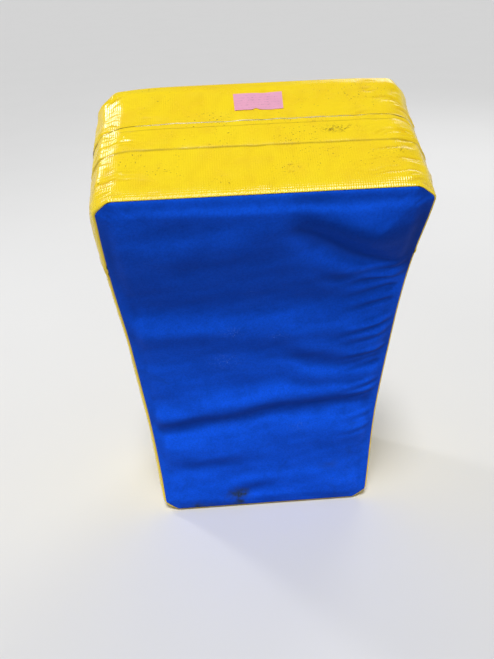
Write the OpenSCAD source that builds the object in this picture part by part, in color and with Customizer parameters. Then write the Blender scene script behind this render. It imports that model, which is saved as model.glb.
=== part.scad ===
/* [Pad] */
// Width of the pad across its top end
top_w = 440; // [400:5:480]
// Width of the pad across its bottom end
bottom_w = 374; // [360:2:400]
// Length of the pad along its bend, at mid thickness
pad_len = 752; // [640:4:900]
// Thickness of the pad from strike face to back
pad_t = 205; // [150:5:220]
// Bend of the pad over its whole length, in degrees
bend = 29; // [15:1:35]
// Length cut off each of the four corners of the face, along both edges
corner_cut = 22; // [12:1:32]
// Thickness of the coated fabric of the cover
cover_t = 1; // [0.8:0.1:1.5]

/* [Foam] */
// Thickness of the firm foam sheet behind the strike face
face_foam_t = 40; // [25:5:50]
// Thickness of the firm foam sheet at the back
back_foam_t = 40; // [25:5:50]

/* [Closure] */
// Depth of the closing flap, from its sewn base to its free edge
flap_d = 46; // [32:1:50]
// Distance of the flap's sewn base in front of mid thickness
flap_base = 21; // [15:1:30]
// Thickness of the hook strip and of the loop strip
grip_t = 1.2; // [1:0.1:1.6]
// Length of the top gusset down each side
joint_drop = 135; // [100:5:160]

/* [Label] */
// Width of the care label
label_w = 67; // [40:1:90]
// Height of the care label
label_h = 32; // [20:1:40]

/* [Arm straps] */
// Clear height between the back and the middle of a strap
strap_clear = 70; // [60:2:80]
// Width of the strap webbing
web_w = 50; // [38:2:50]
// Width of the foam inside a strap's sleeve
strap_pad_w = 72; // [60:2:80]
// Distance of the lower strap above the bottom end
lower_strap = 245; // [210:5:260]
// Distance of the upper strap above the bottom end
upper_strap = 505; // [450:5:540]

/* [Hidden] */
$fn = 96;
// Bend, measured at mid thickness, and the straight line between the two ends
bend_r = pad_len / (bend * PI / 180);
chord = 2 * bend_r * sin(bend / 2);
// Lean of a side wall
side_lean = atan((top_w - bottom_w) / 2 / chord);
// Front and back surfaces of the pad and of its fabric, from mid thickness
front_y = -pad_t / 2;
back_y = pad_t / 2;
// Reach of the cutting blocks past the pad, and of the bent slab past its ends, in degrees
over = 60;
slab_over = 4;
joint_turn = bend - joint_drop / (bend_r * PI / 180);
// Running gap between the flap and what stays still
gap = 0.3;
// Heights above the top end of the hook strip, the flap sheet and its outer face
hook_z = grip_t + gap;
flap_z = 2 * grip_t + gap;
flap_top = flap_z + cover_t;
// The flap's sewn base is a roll that turns in place
roll_r = (flap_top - gap) / 2;
flap_half = top_w / 2 - corner_cut - 8;
grip_half = flap_half - 30;
// Label centre behind mid thickness, and its thickness
label_y = 62;
label_t = 0.4;
// Strap layers, from the forearm outwards, as radii about the middle of the loop
skin_t = 1.2;
web_t = 2.4;
strap_foam_t = 8;
loop_r = 96;
foam_r = loop_r + skin_t;
web_r = foam_r + strap_foam_t;
skin_r = web_r + web_t;
loop_y = back_y + strap_clear - loop_r;
sleeve_turn = 52;
foam_turn = 50;
// Patches and webbing tabs on the back
patch_t = 1;
patch_in = 92;
patch_out = 168;
patch_h = 68;
tab_in = 98;
tab_out = 160;

// Moves to a place along the bend: +Y points to the back, +Z along the bend
module at_turn(turn) {
    translate([0, -bend_r, 0])
        rotate([turn, 0, 0])
            translate([0, bend_r, 0])
                children();
}

// A bent slab between two surfaces, two sides and two turns
module bent_slab(y0, y1, x0, x1, from, to) {
    translate([0, -bend_r, 0])
        rotate([from, 0, 0])
            rotate(a = 120, v = [1, 1, 1])
                rotate_extrude(angle = to - from, $fn = 720)
                    translate([bend_r + y0, x0])
                        square([y1 - y0, x1 - x0]);
}

// The space between the two leaning side walls
module between_sides(inset) {
    low_half = bottom_w / 2 - inset / cos(side_lean) - over * tan(side_lean);
    high_half = top_w / 2 - inset / cos(side_lean) + over * tan(side_lean);
    rotate([bend / 2, 0, 0])
        rotate([90, 0, 0])
            linear_extrude(4 * pad_t, center = true)
                polygon([[-low_half, -over], [low_half, -over], [high_half, chord + over], [-high_half, chord + over]]);
}

// What is cut away at one corner, in the frame of an end with +Z out of it
module corner_waste(inset, end_half) {
    translate([end_half, 0, 0])
        rotate([0, 45, 0])
            translate([-over, -pad_t, -corner_cut * sqrt(1 / 2) - inset])
                cube([2 * over, 2 * pad_t, over]);
}

// What is cut away at one end: all beyond its face, and its two corners
module end_waste(inset, end_half) {
    translate([-top_w, -pad_t, -inset])
        cube([2 * top_w, 2 * pad_t, 2 * over]);
    corner_waste(inset, end_half);
    mirror([1, 0, 0])
        corner_waste(inset, end_half);
}

// The pad's outline moved inwards by an inset, with no front or back
module outline(inset) {
    difference() {
        between_sides(inset);
        at_turn(bend)
            end_waste(inset, top_w / 2);
        mirror([0, 0, 1])
            end_waste(inset, bottom_w / 2);
    }
}

// The full width of the pad, and more, between two surfaces
module between_faces(y0, y1) {
    bent_slab(y0, y1, -top_w, top_w, -slab_over, bend + slab_over);
}

// The pad's outline moved inwards by an inset, between two surfaces
module pad_shape(inset, y0, y1) {
    intersection() {
        outline(inset);
        between_faces(y0, y1);
    }
}

// A wall that follows the sides and ends of the pad, between two insets
module edge_wall(outside, inside, y0, y1) {
    intersection() {
        difference() {
            outline(outside);
            outline(inside);
        }
        between_faces(y0, y1);
    }
}

// All of the space on the top side of the joint between the gussets
module above_joint() {
    at_turn(joint_turn)
        translate([-top_w, -2 * pad_t, 0])
            cube([2 * top_w, 4 * pad_t, 2 * joint_drop + over]);
}

module face_foam() {
    color([0.86, 0.87, 0.88])
        pad_shape(cover_t, front_y + cover_t, front_y + cover_t + face_foam_t);
}

module core_foam() {
    color([0.62, 0.66, 0.70])
        pad_shape(cover_t, front_y + cover_t + face_foam_t, back_y - cover_t - back_foam_t);
}

module back_foam() {
    color([0.86, 0.87, 0.88])
        pad_shape(cover_t, back_y - cover_t - back_foam_t, back_y - cover_t);
}

module strike_panel() {
    color([0.04, 0.16, 0.55])
        pad_shape(0, front_y, front_y + cover_t);
}

module back_panel() {
    color([0.93, 0.76, 0.10])
        pad_shape(0, back_y - cover_t, back_y);
}

module side_gusset() {
    color([0.93, 0.76, 0.10])
        difference() {
            edge_wall(0, cover_t, front_y + cover_t, back_y - cover_t);
            above_joint();
        }
}

// One strip of the top gusset, from one joint over the top end to the other joint
module top_strip(y0, y1) {
    intersection() {
        edge_wall(0, cover_t, y0, y1);
        above_joint();
    }
}

module top_gusset_front() {
    color([0.93, 0.76, 0.10])
        top_strip(front_y + cover_t, -flap_base);
}

module top_gusset_back() {
    color([0.90, 0.73, 0.09])
        top_strip(-flap_base, back_y - cover_t);
}

module closure_flap() {
    color([0.95, 0.80, 0.14])
        at_turn(bend) {
            translate([-flap_half, -flap_base, gap + roll_r])
                rotate([0, 90, 0])
                    cylinder(h = 2 * flap_half, r = roll_r);
            translate([-flap_half, -flap_base, flap_z])
                cube([2 * flap_half, flap_d, cover_t]);
        }
}

module hook_strip() {
    color([0.16, 0.16, 0.17])
        at_turn(bend)
            translate([-grip_half, -flap_base + roll_r + 1, hook_z])
                cube([2 * grip_half, flap_d - roll_r - 3, grip_t]);
}

module loop_strip() {
    color([0.20, 0.20, 0.21])
        at_turn(bend)
            translate([-grip_half, -flap_base + roll_r + 1, 0])
                cube([2 * grip_half, flap_d - roll_r - 3, grip_t]);
}

// The end of the flap that is sewn down around a corner of the pad
module flap_corner(side) {
    intersection() {
        edge_wall(-flap_top, 0, -flap_base, flap_d - flap_base);
        above_joint();
        at_turn(bend)
            translate([side > 0 ? flap_half + gap : -top_w - flap_half - gap, -pad_t, -2 * joint_drop])
                cube([top_w, 2 * pad_t, 4 * joint_drop]);
    }
}

module flap_corner_left() {
    color([0.95, 0.80, 0.14])
        flap_corner(-1);
}

module flap_corner_right() {
    color([0.95, 0.80, 0.14])
        flap_corner(1);
}

module care_label() {
    color([0.93, 0.62, 0.74])
        at_turn(bend)
            translate([6 - label_w / 2, label_y - label_h / 2, 0])
                cube([label_w, label_h, label_t]);
}

// Turn of the pad at a distance above its bottom end
function turn_of(height) = height / (bend_r * PI / 180);

// A patch under a webbing tab, on one side of the back
module patch(height, side) {
    x0 = side > 0 ? patch_in : -patch_out;
    bent_slab(back_y, back_y + patch_t, x0, x0 + patch_out - patch_in,
        turn_of(height - patch_h / 2), turn_of(height + patch_h / 2));
}

// A band of a strap's loop between two radii, as wide as half to each side
module loop_band(r0, r1, half, turn) {
    translate([0, loop_y, 0])
        rotate([0, 0, 90 - turn])
            rotate_extrude(angle = 2 * turn)
                translate([r0, -half])
                    square([r1 - r0, 2 * half]);
}

// The webbing of a strap: its loop and the two tabs sewn to the patches
module webbing(height) {
    foot = patch_t + web_t / 2;
    at_turn(turn_of(height))
        intersection() {
            loop_band(web_r, skin_r, web_w / 2, 85);
            translate([-tab_out, back_y + foot, -web_w])
                cube([2 * tab_out, 2 * strap_clear, 2 * web_w]);
        }
    for (x0 = [tab_in, -tab_out])
        bent_slab(back_y + patch_t, back_y + patch_t + web_t, x0, x0 + tab_out - tab_in,
            turn_of(height - web_w / 2), turn_of(height + web_w / 2));
}

// The foam in a strap's sleeve, with the webbing let into its outer face
module strap_foam(height) {
    at_turn(turn_of(height))
        difference() {
            loop_band(foam_r, skin_r, strap_pad_w / 2, foam_turn);
            loop_band(web_r, skin_r + 1, web_w / 2, sleeve_turn);
        }
}

// The fabric sleeve around a strap's foam and webbing, open at both ends
module sleeve(height) {
    at_turn(turn_of(height))
        difference() {
            loop_band(loop_r, skin_r + skin_t, strap_pad_w / 2 + skin_t, sleeve_turn);
            loop_band(foam_r, skin_r, strap_pad_w / 2, sleeve_turn + 1);
        }
}

module upper_patch_left() {
    color([0.12, 0.12, 0.13])
        patch(upper_strap, -1);
}

module upper_patch_right() {
    color([0.12, 0.12, 0.13])
        patch(upper_strap, 1);
}

module upper_webbing() {
    color([0.07, 0.07, 0.08])
        webbing(upper_strap);
}

module upper_strap_foam() {
    color([0.70, 0.72, 0.74])
        strap_foam(upper_strap);
}

module upper_sleeve() {
    color([0.05, 0.15, 0.50])
        sleeve(upper_strap);
}

module lower_patch_left() {
    color([0.12, 0.12, 0.13])
        patch(lower_strap, -1);
}

module lower_patch_right() {
    color([0.12, 0.12, 0.13])
        patch(lower_strap, 1);
}

module lower_webbing() {
    color([0.07, 0.07, 0.08])
        webbing(lower_strap);
}

module lower_strap_foam() {
    color([0.70, 0.72, 0.74])
        strap_foam(lower_strap);
}

module lower_sleeve() {
    color([0.05, 0.15, 0.50])
        sleeve(lower_strap);
}

face_foam();
core_foam();
back_foam();
strike_panel();
back_panel();
side_gusset();
top_gusset_front();
top_gusset_back();
closure_flap();
hook_strip();
loop_strip();
flap_corner_left();
flap_corner_right();
care_label();
upper_patch_left();
upper_patch_right();
upper_webbing();
upper_strap_foam();
upper_sleeve();
lower_patch_left();
lower_patch_right();
lower_webbing();
lower_strap_foam();
lower_sleeve();
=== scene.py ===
"""Kick shield: the visual model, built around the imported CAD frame. Metres throughout."""
import math

import bmesh
import bpy
import numpy as np
from mathutils import Matrix, Vector


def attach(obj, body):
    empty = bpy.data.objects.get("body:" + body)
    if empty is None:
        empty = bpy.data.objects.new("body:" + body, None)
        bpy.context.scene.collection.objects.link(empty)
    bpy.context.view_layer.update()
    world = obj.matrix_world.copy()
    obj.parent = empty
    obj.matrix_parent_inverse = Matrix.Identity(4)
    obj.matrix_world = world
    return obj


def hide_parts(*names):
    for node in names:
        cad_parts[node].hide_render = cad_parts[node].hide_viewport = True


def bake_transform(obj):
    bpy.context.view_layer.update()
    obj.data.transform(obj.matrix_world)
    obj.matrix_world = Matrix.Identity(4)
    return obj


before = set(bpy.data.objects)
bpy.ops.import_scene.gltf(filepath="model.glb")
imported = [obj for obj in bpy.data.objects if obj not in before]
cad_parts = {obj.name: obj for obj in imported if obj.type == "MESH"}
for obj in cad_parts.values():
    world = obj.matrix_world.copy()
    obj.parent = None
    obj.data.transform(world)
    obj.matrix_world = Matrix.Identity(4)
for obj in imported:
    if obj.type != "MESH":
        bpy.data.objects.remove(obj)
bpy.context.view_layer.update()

# The pad's driving sizes, as in the CAD
TOP, BOTTOM, LENGTH, DEPTH = 0.440, 0.374, 0.752, 0.205
BEND = math.radians(29)
RADIUS = LENGTH / BEND
CHORD = 2 * RADIUS * math.sin(BEND / 2)
CUT = 0.022
HALF_CUT = 0.0156
CORNER_ROUND = 0.007
FRONT, BACK = -DEPTH / 2, DEPTH / 2
FLAP_BASE, FLAP_EDGE = -0.021, 0.025
JOINT_DROP = 0.135
# The thickness of the cover's cloth
CLOTH = 0.001


# ---------------------------------------------------------------- pad space
def place(x, s, d):
    """Pad space to the row's frame: x across, s up the bend, d behind mid thickness."""
    turn = s / RADIUS
    return np.stack([x, (RADIUS + d) * np.cos(turn) - RADIUS, (RADIUS + d) * np.sin(turn)], -1)


def half_width(s, d):
    """Half the pad's width at s and d: it widens evenly with height along the bend's chord."""
    along = (RADIUS + d) * np.sin(s / RADIUS - BEND / 2) + RADIUS * math.sin(BEND / 2)
    return BOTTOM / 2 + (TOP - BOTTOM) / 2 * along / CHORD


def unit(v):
    return v / np.linalg.norm(v)


def run_along(line):
    """The distance along a line of points to each of them."""
    return np.concatenate([[0], np.cumsum(np.linalg.norm(np.diff(line, axis=0), axis=1))])


def make_outline():
    """The face's outline at mid thickness, with cut corners: four sides, each between corner middles."""
    hb, ht = BOTTOM / 2, TOP / 2
    corners = [np.array(c) for c in ((-hb, 0), (hb, 0), (ht, LENGTH), (-ht, LENGTH))]
    cut = []
    for k in range(4):
        before, here, after = corners[k - 1], corners[k], corners[(k + 1) % 4]
        cut += [here + CUT * unit(before - here), here + CUT * unit(after - here)]
    fine = []
    for k in range(8):
        before, here, after = cut[k - 1], cut[k], cut[(k + 1) % 8]
        a, b = here + CORNER_ROUND * unit(before - here), here + CORNER_ROUND * unit(after - here)
        fine.append([(1 - t) ** 2 * a + 2 * t * (1 - t) * here + t * t * b for t in np.linspace(0, 1, 9)])
    sides = []
    for k in range(4):
        start = (cut[2 * k] + cut[2 * k + 1]) / 2
        n = (k + 1) % 4
        end = (cut[2 * n] + cut[2 * n + 1]) / 2
        line = np.array([start] + fine[2 * k + 1] + fine[(2 * k + 2) % 8] + [end])
        sides.append((run_along(line), line))
    return sides


SIDES = make_outline()
SIDE_LENGTHS = [run[-1] for run, _ in SIDES]


def outline(t):
    """Points (x, s) on the outline: t counts sides, from the bottom left corner, past the bottom right."""
    t = np.asarray(t, float) % 4
    out = np.zeros(t.shape + (2,))
    for k, (run, line) in enumerate(SIDES):
        on = (t >= k) & (t < k + 1)
        along = (t[on] - k) * run[-1]
        out[on, 0] = np.interp(along, run, line[:, 0])
        out[on, 1] = np.interp(along, run, line[:, 1])
    return out


def outward(t):
    """Outward unit normals of the outline in (x, s)."""
    step = outline(t + 0.004) - outline(t - 0.004)
    step /= np.linalg.norm(step, axis=-1, keepdims=True)
    return np.stack([step[..., 1], -step[..., 0]], -1)


def patch(u, v):
    """Points (x, s) inside the outline, for u across and v up, each from 0 to 1."""
    u, v = np.meshgrid(u, v, indexing="ij")
    e = 1e-9
    low, high = outline(np.clip(u, 0, 1 - e)), outline(3 - np.clip(u, e, 1))
    left, right = outline(4 - np.clip(v, e, 1)), outline(1 + np.clip(v, 0, 1 - e))
    c00, c10, c11, c01 = (outline(np.array(float(k))) for k in range(4))
    u, v = u[..., None], v[..., None]
    return (
        (1 - v) * low + v * high + (1 - u) * left + u * right
        - (1 - u) * (1 - v) * c00 - u * (1 - v) * c10 - u * v * c11 - (1 - u) * v * c01
    )


def widen(xs, d):
    """x at depth d for outline points taken at mid thickness."""
    x, s = xs[..., 0], xs[..., 1]
    return x * half_width(s, d) / half_width(s, 0.0), s


# ---------------------------------------------------------------- mesh helpers
def grid_faces(rows, columns, flip=False):
    """The faces of a grid of points."""
    faces = []
    for i in range(rows - 1):
        for j in range(columns - 1):
            a, b = i * columns + j, (i + 1) * columns + j
            face = (a, b, b + 1, a + 1)
            faces.append(tuple(reversed(face)) if flip else face)
    return faces


def tube_faces(rings, flip=False):
    """The faces between closed rings of point numbers, each ring joined to the next."""
    faces = []
    for low, high in zip(rings, rings[1:]):
        for i in range(len(low)):
            n = (i + 1) % len(low)
            face = (low[i], high[i], high[n], low[n]) if flip else (low[i], low[n], high[n], high[i])
            faces.append(tuple(int(k) for k in face))
    return faces


def grid_rim(rows, columns):
    """Point numbers round the edge of a grid, in the outline's order."""
    index = np.arange(rows * columns).reshape(rows, columns)
    return np.concatenate([index[:-1, 0], index[-1, :-1], index[:0:-1, -1], index[0, :0:-1]])


def new_object(name, points, faces, uv=None, smooth=True, **attributes):
    """A mesh object; each attribute is a number per point, for its material."""
    mesh = bpy.data.meshes.new(name)
    mesh.from_pydata(np.asarray(points, float).reshape(-1, 3).tolist(), [], faces)
    mesh.update()
    obj = bpy.data.objects.new(name, mesh)
    bpy.context.scene.collection.objects.link(obj)
    if uv is not None:
        layer = mesh.uv_layers.new(name="UVMap")
        loops = np.zeros(len(mesh.loops), int)
        mesh.loops.foreach_get("vertex_index", loops)
        layer.data.foreach_set("uv", np.asarray(uv, float).reshape(-1, 2)[loops].ravel())
    for key, values in attributes.items():
        attribute = mesh.attributes.new(key, "FLOAT", "POINT")
        attribute.data.foreach_set("value", np.asarray(values, np.float32).ravel())
    if smooth:
        mesh.polygons.foreach_set("use_smooth", [True] * len(mesh.polygons))
    return obj


def crisp(obj, degrees=50):
    """Keeps the rims of a smooth piece crisp."""
    obj.data.set_sharp_from_angle(angle=math.radians(degrees))
    return obj


def thicken(obj, thickness=CLOTH):
    """Gives a surface its thickness, inwards."""
    modifier = obj.modifiers.new("Thickness", "SOLIDIFY")
    modifier.thickness = thickness
    modifier.offset = -1
    depsgraph = bpy.context.evaluated_depsgraph_get()
    mesh = bpy.data.meshes.new_from_object(obj.evaluated_get(depsgraph), depsgraph=depsgraph)
    obj.modifiers.clear()
    obj.data = mesh
    return crisp(obj)


def cubic(fine, coarse, closed=False):
    """A matrix that takes values at coarse even steps of 0 to 1 to the places in fine."""
    n = coarse
    matrix = np.zeros((len(fine), n))
    scale = n if closed else n - 1
    for r, f in enumerate(fine):
        at = f * scale
        k = int(min(math.floor(at), scale - 1))
        t = at - k
        weights = (
            (-t + 2 * t * t - t ** 3) / 2,
            (2 - 5 * t * t + 3 * t ** 3) / 2,
            (t + 4 * t * t - 3 * t ** 3) / 2,
            (-t * t + t ** 3) / 2,
        )
        for o, weight in zip((-1, 0, 1, 2), weights):
            column = (k + o) % n if closed else min(max(k + o, 0), n - 1)
            matrix[r, column] += weight
    return matrix


def hills(points, scale, seed):
    """Smooth noise from a few sine waves, about -1 to 1, for points of any dimension."""
    wave = np.random.default_rng(seed)
    total = np.zeros(points.shape[:-1])
    for _ in range(9):
        k = wave.normal(size=points.shape[-1]) / scale
        total += np.sin(points @ k * 2.2 + wave.uniform(0, 6.28))
    return total / 4.5


def bell(x, width):
    return np.exp(-((x / width) ** 2))


def smooth_step(x, low, high):
    t = np.clip((x - low) / (high - low), 0, 1)
    return t * t * (3 - 2 * t)


# ---------------------------------------------------------------- cover simulation
# The trial cover's grid: across, up and through; and where its strips' points lie on the outline
NU, NS, ND = 58, 106, 28
BELT_T = np.concatenate([k + np.arange(n) / n for k, n in enumerate((NU, NS, NU, NS))])
FRAMES = 20


def face_points():
    return patch(np.linspace(0, 1, NU + 1), np.linspace(0, 1, NS + 1))


def cover_cage():
    """A closed trial cover: points of the front, the back and the strips, its faces, and its seams."""
    flat, count = face_points(), len(BELT_T)
    sheets = [place(*widen(flat, d), np.full(flat.shape[:2], d)).reshape(-1, 3) for d in (FRONT, BACK)]
    depths = np.linspace(FRONT, BACK, ND + 1)[1:-1]
    strips = [place(*widen(outline(BELT_T), d), np.full(count, d)) for d in depths]
    rim, base = grid_rim(NU + 1, NS + 1), len(sheets[0])
    faces = grid_faces(NU + 1, NS + 1, flip=True)
    faces += [tuple(i + base for i in reversed(f)) for f in faces]
    middle = [2 * base + k * count + np.arange(count) for k in range(ND - 1)]
    faces += tube_faces([rim] + middle + [rim + base])
    return np.concatenate(sheets + strips), faces, np.concatenate([rim, rim + base])


def inflate(points, faces, seams):
    """Blows a cage up as cloth, held at its seams, and returns how far each point moves."""
    obj = new_object("cover_trial", points, faces, smooth=False)
    bm = bmesh.new()
    bm.from_mesh(obj.data)
    bmesh.ops.recalc_face_normals(bm, faces=bm.faces)
    bm.to_mesh(obj.data)
    bm.free()
    obj.vertex_groups.new(name="seams").add([int(i) for i in seams], 1.0, "REPLACE")
    cloth = obj.modifiers.new("Cloth", "CLOTH")
    setup = cloth.settings
    setup.quality = 5
    setup.mass = 0.3
    setup.tension_stiffness = setup.compression_stiffness = 25
    setup.shear_stiffness = 8
    setup.bending_stiffness = 0.6
    setup.use_pressure = True
    setup.uniform_pressure_force = 4
    setup.shrink_min = -0.012
    setup.vertex_group_mass = "seams"
    setup.effector_weights.gravity = 0
    cloth.collision_settings.use_self_collision = False
    cloth.collision_settings.use_collision = False
    cloth.point_cache.frame_start, cloth.point_cache.frame_end = 1, FRAMES
    for number in range(1, FRAMES + 1):
        bpy.context.scene.frame_set(number)
    moved = obj.evaluated_get(bpy.context.evaluated_depsgraph_get()).data
    after = np.zeros(len(points) * 3)
    moved.vertices.foreach_get("co", after)
    bpy.data.objects.remove(obj)
    bpy.context.scene.frame_set(1)
    return after.reshape(-1, 3) - points


def swell():
    """How far the inflated cover stands out of its front, its back and its strips."""
    shift = inflate(*cover_cage())
    base, count = (NU + 1) * (NS + 1), len(BELT_T)
    turn = face_points()[..., 1].reshape(-1) / RADIUS
    normal = np.stack([0 * turn, np.cos(turn), np.sin(turn)], -1)
    front_out = (-(shift[:base] * normal).sum(1)).reshape(NU + 1, NS + 1)
    back_out = ((shift[base:2 * base] * normal).sum(1)).reshape(NU + 1, NS + 1)
    out = outward(BELT_T)
    turn = outline(BELT_T)[:, 1] / RADIUS
    along = np.stack([0 * turn, -np.sin(turn), np.cos(turn)], -1)
    direction = out[:, :1] * np.array([[1.0, 0, 0]]) + out[:, 1:] * along
    belt_out = np.zeros((count, ND + 1))
    belt_out[:, 1:-1] = (shift[2 * base:].reshape(ND - 1, count, 3) * direction).sum(2).T
    return front_out, back_out, belt_out


front_puff, back_puff, belt_puff = swell()

# ---------------------------------------------------------------- the cover's surfaces
T_RIGHT = 2 - JOINT_DROP / SIDE_LENGTHS[1]
T_LEFT = 3 + JOINT_DROP / SIDE_LENGTHS[3]
STARTS = np.array([0, NU, NU + NS, 2 * NU + NS, 2 * NU + 2 * NS])
# How far the cover stands off the pad's true shape beside its seams and on its sides and top end
SEAM_LIFT = 0.0035
RIGHT_LIFT, LEFT_LIFT, END_LIFT = 0.0044, 0.0064, 0.0046
# The length of the cover's turn over a seam, the strips' reach past it, and how far to each side
# of the middle the top end is kept flat for the hook and loop strips
ROLL = 0.016
LIP = 0.0014
HALF_GRIP = 0.162


def lay(x, s, d):
    """Pad space to the row's frame for the cover, which kicks have pushed a little out of true."""
    part = np.clip(np.abs(x) / half_width(s, d), 0, 1.1) ** 3
    front = smooth_step(-d, -0.09, 0.09)
    right = 0.0055 * bell(s - 0.71, 0.085) + 0.0012 * bell(s - 0.38, 0.10) + 0.0035 * bell(s - 0.06, 0.11)
    left = 0.0042 * bell(s - 0.56, 0.11) + 0.0020 * bell(s - 0.36, 0.10) - 0.0030 * bell(s - 0.735, 0.05)
    x = x + part * np.where(x > 0, right, -left) * (0.35 + 0.65 * front)
    d = d - (0.0050 - 0.010 * x) * bell(s, 0.05) * front
    d = d + 0.0050 * bell(s - LENGTH, 0.03) * (1 - front)
    corner = bell(np.hypot(np.abs(x) - TOP / 2 + 0.006, s - LENGTH + 0.006), 0.048)
    rounded = np.where(x > 0, 0.0030, 0.0055) * (1 - front) * corner
    x, s = x - np.sign(x) * rounded, s - rounded
    s = s + SEAM_LIFT * np.exp(-s / 0.012)
    return place(x, s, d)


def split_field(field, times):
    """A field's broad part and what is left of it."""
    broad = field.copy()
    for _ in range(times):
        broad = around(broad) / 2 + broad / 2
    return broad, field - broad


def around(field, reach=1):
    """The mean of the four values that lie a few steps away."""
    padded = np.pad(field, reach, mode="edge")
    n, m = field.shape
    corners = ((0, reach), (2 * reach, reach), (reach, 0), (reach, 2 * reach))
    return sum(padded[i:i + n, j:j + m] for i, j in corners) / 4


def hollow(height, reach, strength):
    """How far a height field lies below its surroundings, as a mask for painted shade in the hollows."""
    return np.clip((around(height, reach) - height) * strength, 0, 1)


def soft_cap(values, cap):
    return cap * np.tanh(values / cap)


def roll(edge, height, length=ROLL):
    """The cover turns over its seam in a quarter ellipse."""
    return height * np.sqrt(np.clip(1 - (1 - np.clip(edge / length, 0, 1)) ** 2, 0, 1))


def face_edge(x, s, d):
    """Distance from a point of a face to the face's outline."""
    side = half_width(s, d) - np.abs(x)
    low = (side + s - CUT) / math.sqrt(2)
    high = (side + LENGTH - s - CUT) / math.sqrt(2)
    return np.clip(np.minimum.reduce([side, s, LENGTH - s, low, high]), 0, None)


def steps(length, pitch, ends=(0.0005, 0.0014, 0.003, 0.0055)):
    """Even steps from 0 to 1 along a length, with closer ones at both ends."""
    ends = np.array(ends) / length
    count = max(2, int(round(length * (1 - 2 * ends[-1]) / pitch)))
    middle = np.linspace(ends[-1], 1 - ends[-1], count)
    return np.concatenate([[0], ends[:-1], middle, 1 - ends[:-1][::-1], [1]])


def face_panel(name, front):
    u, v = steps(0.41, 0.0034), steps(LENGTH, 0.0030)
    d = FRONT if front else BACK
    x, s = widen(patch(u, v), d)
    broad, fine = split_field(front_puff if front else back_puff, 14)
    fine = split_field(fine, 2)[0]
    m_u, m_v = cubic(u, NU + 1), cubic(v, NS + 1)
    broad, fine = m_u @ broad @ m_v.T, m_u @ fine @ m_v.T
    edge = face_edge(x, s, d)
    points = np.stack([x, s], -1)
    inside = smooth_step(edge, 0.001, 0.030)
    if front:
        height = roll(edge, 0.0035, 0.010) + soft_cap(np.clip(broad, 0, 1), 0.0040) * inside
        height += soft_cap(fine, 0.0012) * 0.15 * inside + front_folds(x, s, edge)
    else:
        height = roll(edge, 0.0045, 0.012) + soft_cap(np.clip(broad, 0, 1), 0.0060) * inside
        height += soft_cap(fine, 0.0015) * 0.8 * inside + 0.0008 * hills(points, 0.05, 5) * inside
    height = np.maximum(height, 0) + soft_cap(np.minimum(height, 0), 0.0024)
    co = lay(x, s, d + (-1 if front else 1) * height)
    marks = strike_marks_and_shade(x, s, height) if front else {"grime": 0 * height}
    marks.update(crease=hollow(height, 3, 1500), ribs=0 * height + 0.3)
    return thicken(new_object(name, co, grid_faces(len(u), len(v), flip=not front), uv=points, **marks))


def strike_marks_and_shade(x, s, height):
    """Where the strike face is stained and scratched, and its painted shading: darker where it turns down,
    under the top end's overhang and in the large fold's shadow, lighter where it turns up.
    """
    slope = np.gradient(height, axis=1) / np.gradient(s, axis=1)
    # Painted shadow: a band under the top end's overhang, a line under the top seam, and the large fold's
    # shadow at the top right
    painted_shadow = 0.18 * bell(s - 0.600, 0.100) + 0.25 * bell(s - LENGTH, 0.016)
    painted_shadow += 0.55 * bell(x - 0.180, 0.085) * bell(s - 0.675, 0.060) + 0.14 * bell(s - 0.705, 0.040)
    painted_shadow += 0.70 * drape(x, s + 0.012, LARGE_FOLD, 0.030, 1.0)
    # Painted shading: darker where the face turns down and in the painted shadow; 0 gives the shaded blue, 1
    # the lit blue
    fade = np.clip(0.62 - 1.6 * slope - painted_shadow, 0, 1)
    return {"grime": foot_stains(x, s), "wear": pale_marks(x, s), "fade": fade}


# Pale scratches on the strike face: x, s and size
SCRATCHES = ((-0.047, 0.464, 0.010), (0.027, 0.450, 0.008), (-0.061, 0.389, 0.014), (0.060, 0.211, 0.009))


def pale_marks(x, s):
    """Where small pale scratches lie on the strike face."""
    total = np.zeros_like(x)
    for x0, s0, size in SCRATCHES:
        total = np.maximum(total, bell(np.hypot((x - x0) * 0.7, s - s0), size))
    return total


def foot_stains(x, s):
    """Dull stains near the foot of the strike face."""
    points = np.stack([x, s], -1)
    ragged = 1 + 0.35 * hills(points, 0.012, 61)
    total = 1.5 * bell(np.hypot(x + 0.050, (s - 0.036) * 1.3) * ragged, 0.015)
    total += 0.8 * bell(np.hypot(x + 0.052, (s - 0.008) * 1.6) * ragged, 0.014)
    total += 1.0 * bell(np.hypot((x + 0.128) * 0.7, s - 0.004) * ragged, 0.012)
    return np.clip(total + 0.30 * bell(np.hypot((x - 0.122) * 0.5, s - 0.098) * ragged, 0.010), 0, 1)


# The large fold from the strike face's top right, as points (x, s) along it
LARGE_FOLD = ((0.045, 0.712), (0.110, 0.668), (0.175, 0.628), (0.240, 0.575))
# The strike face's other long folds: points along each, its width and its depth
FOLDS = (
    (((-0.130, 0.630), (-0.080, 0.650), (0.020, 0.668)), 0.024, 0.0022),
    (((0.085, 0.588), (0.230, 0.556)), 0.014, 0.0050),
    (((-0.240, 0.440), (-0.050, 0.440), (0.060, 0.430)), 0.022, 0.0010),
    (((0.050, 0.405), (0.130, 0.378), (0.230, 0.400)), 0.018, 0.0052),
    (((0.060, 0.335), (0.230, 0.322)), 0.014, 0.0038),
    (((-0.250, 0.222), (-0.100, 0.246), (0.020, 0.270), (0.240, 0.290)), 0.018, 0.0066),
    (((-0.230, 0.112), (-0.120, 0.124), (-0.020, 0.150)), 0.012, 0.0010),
    (((-0.070, 0.052), (0.010, 0.058)), 0.012, 0.0026),
)
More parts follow.
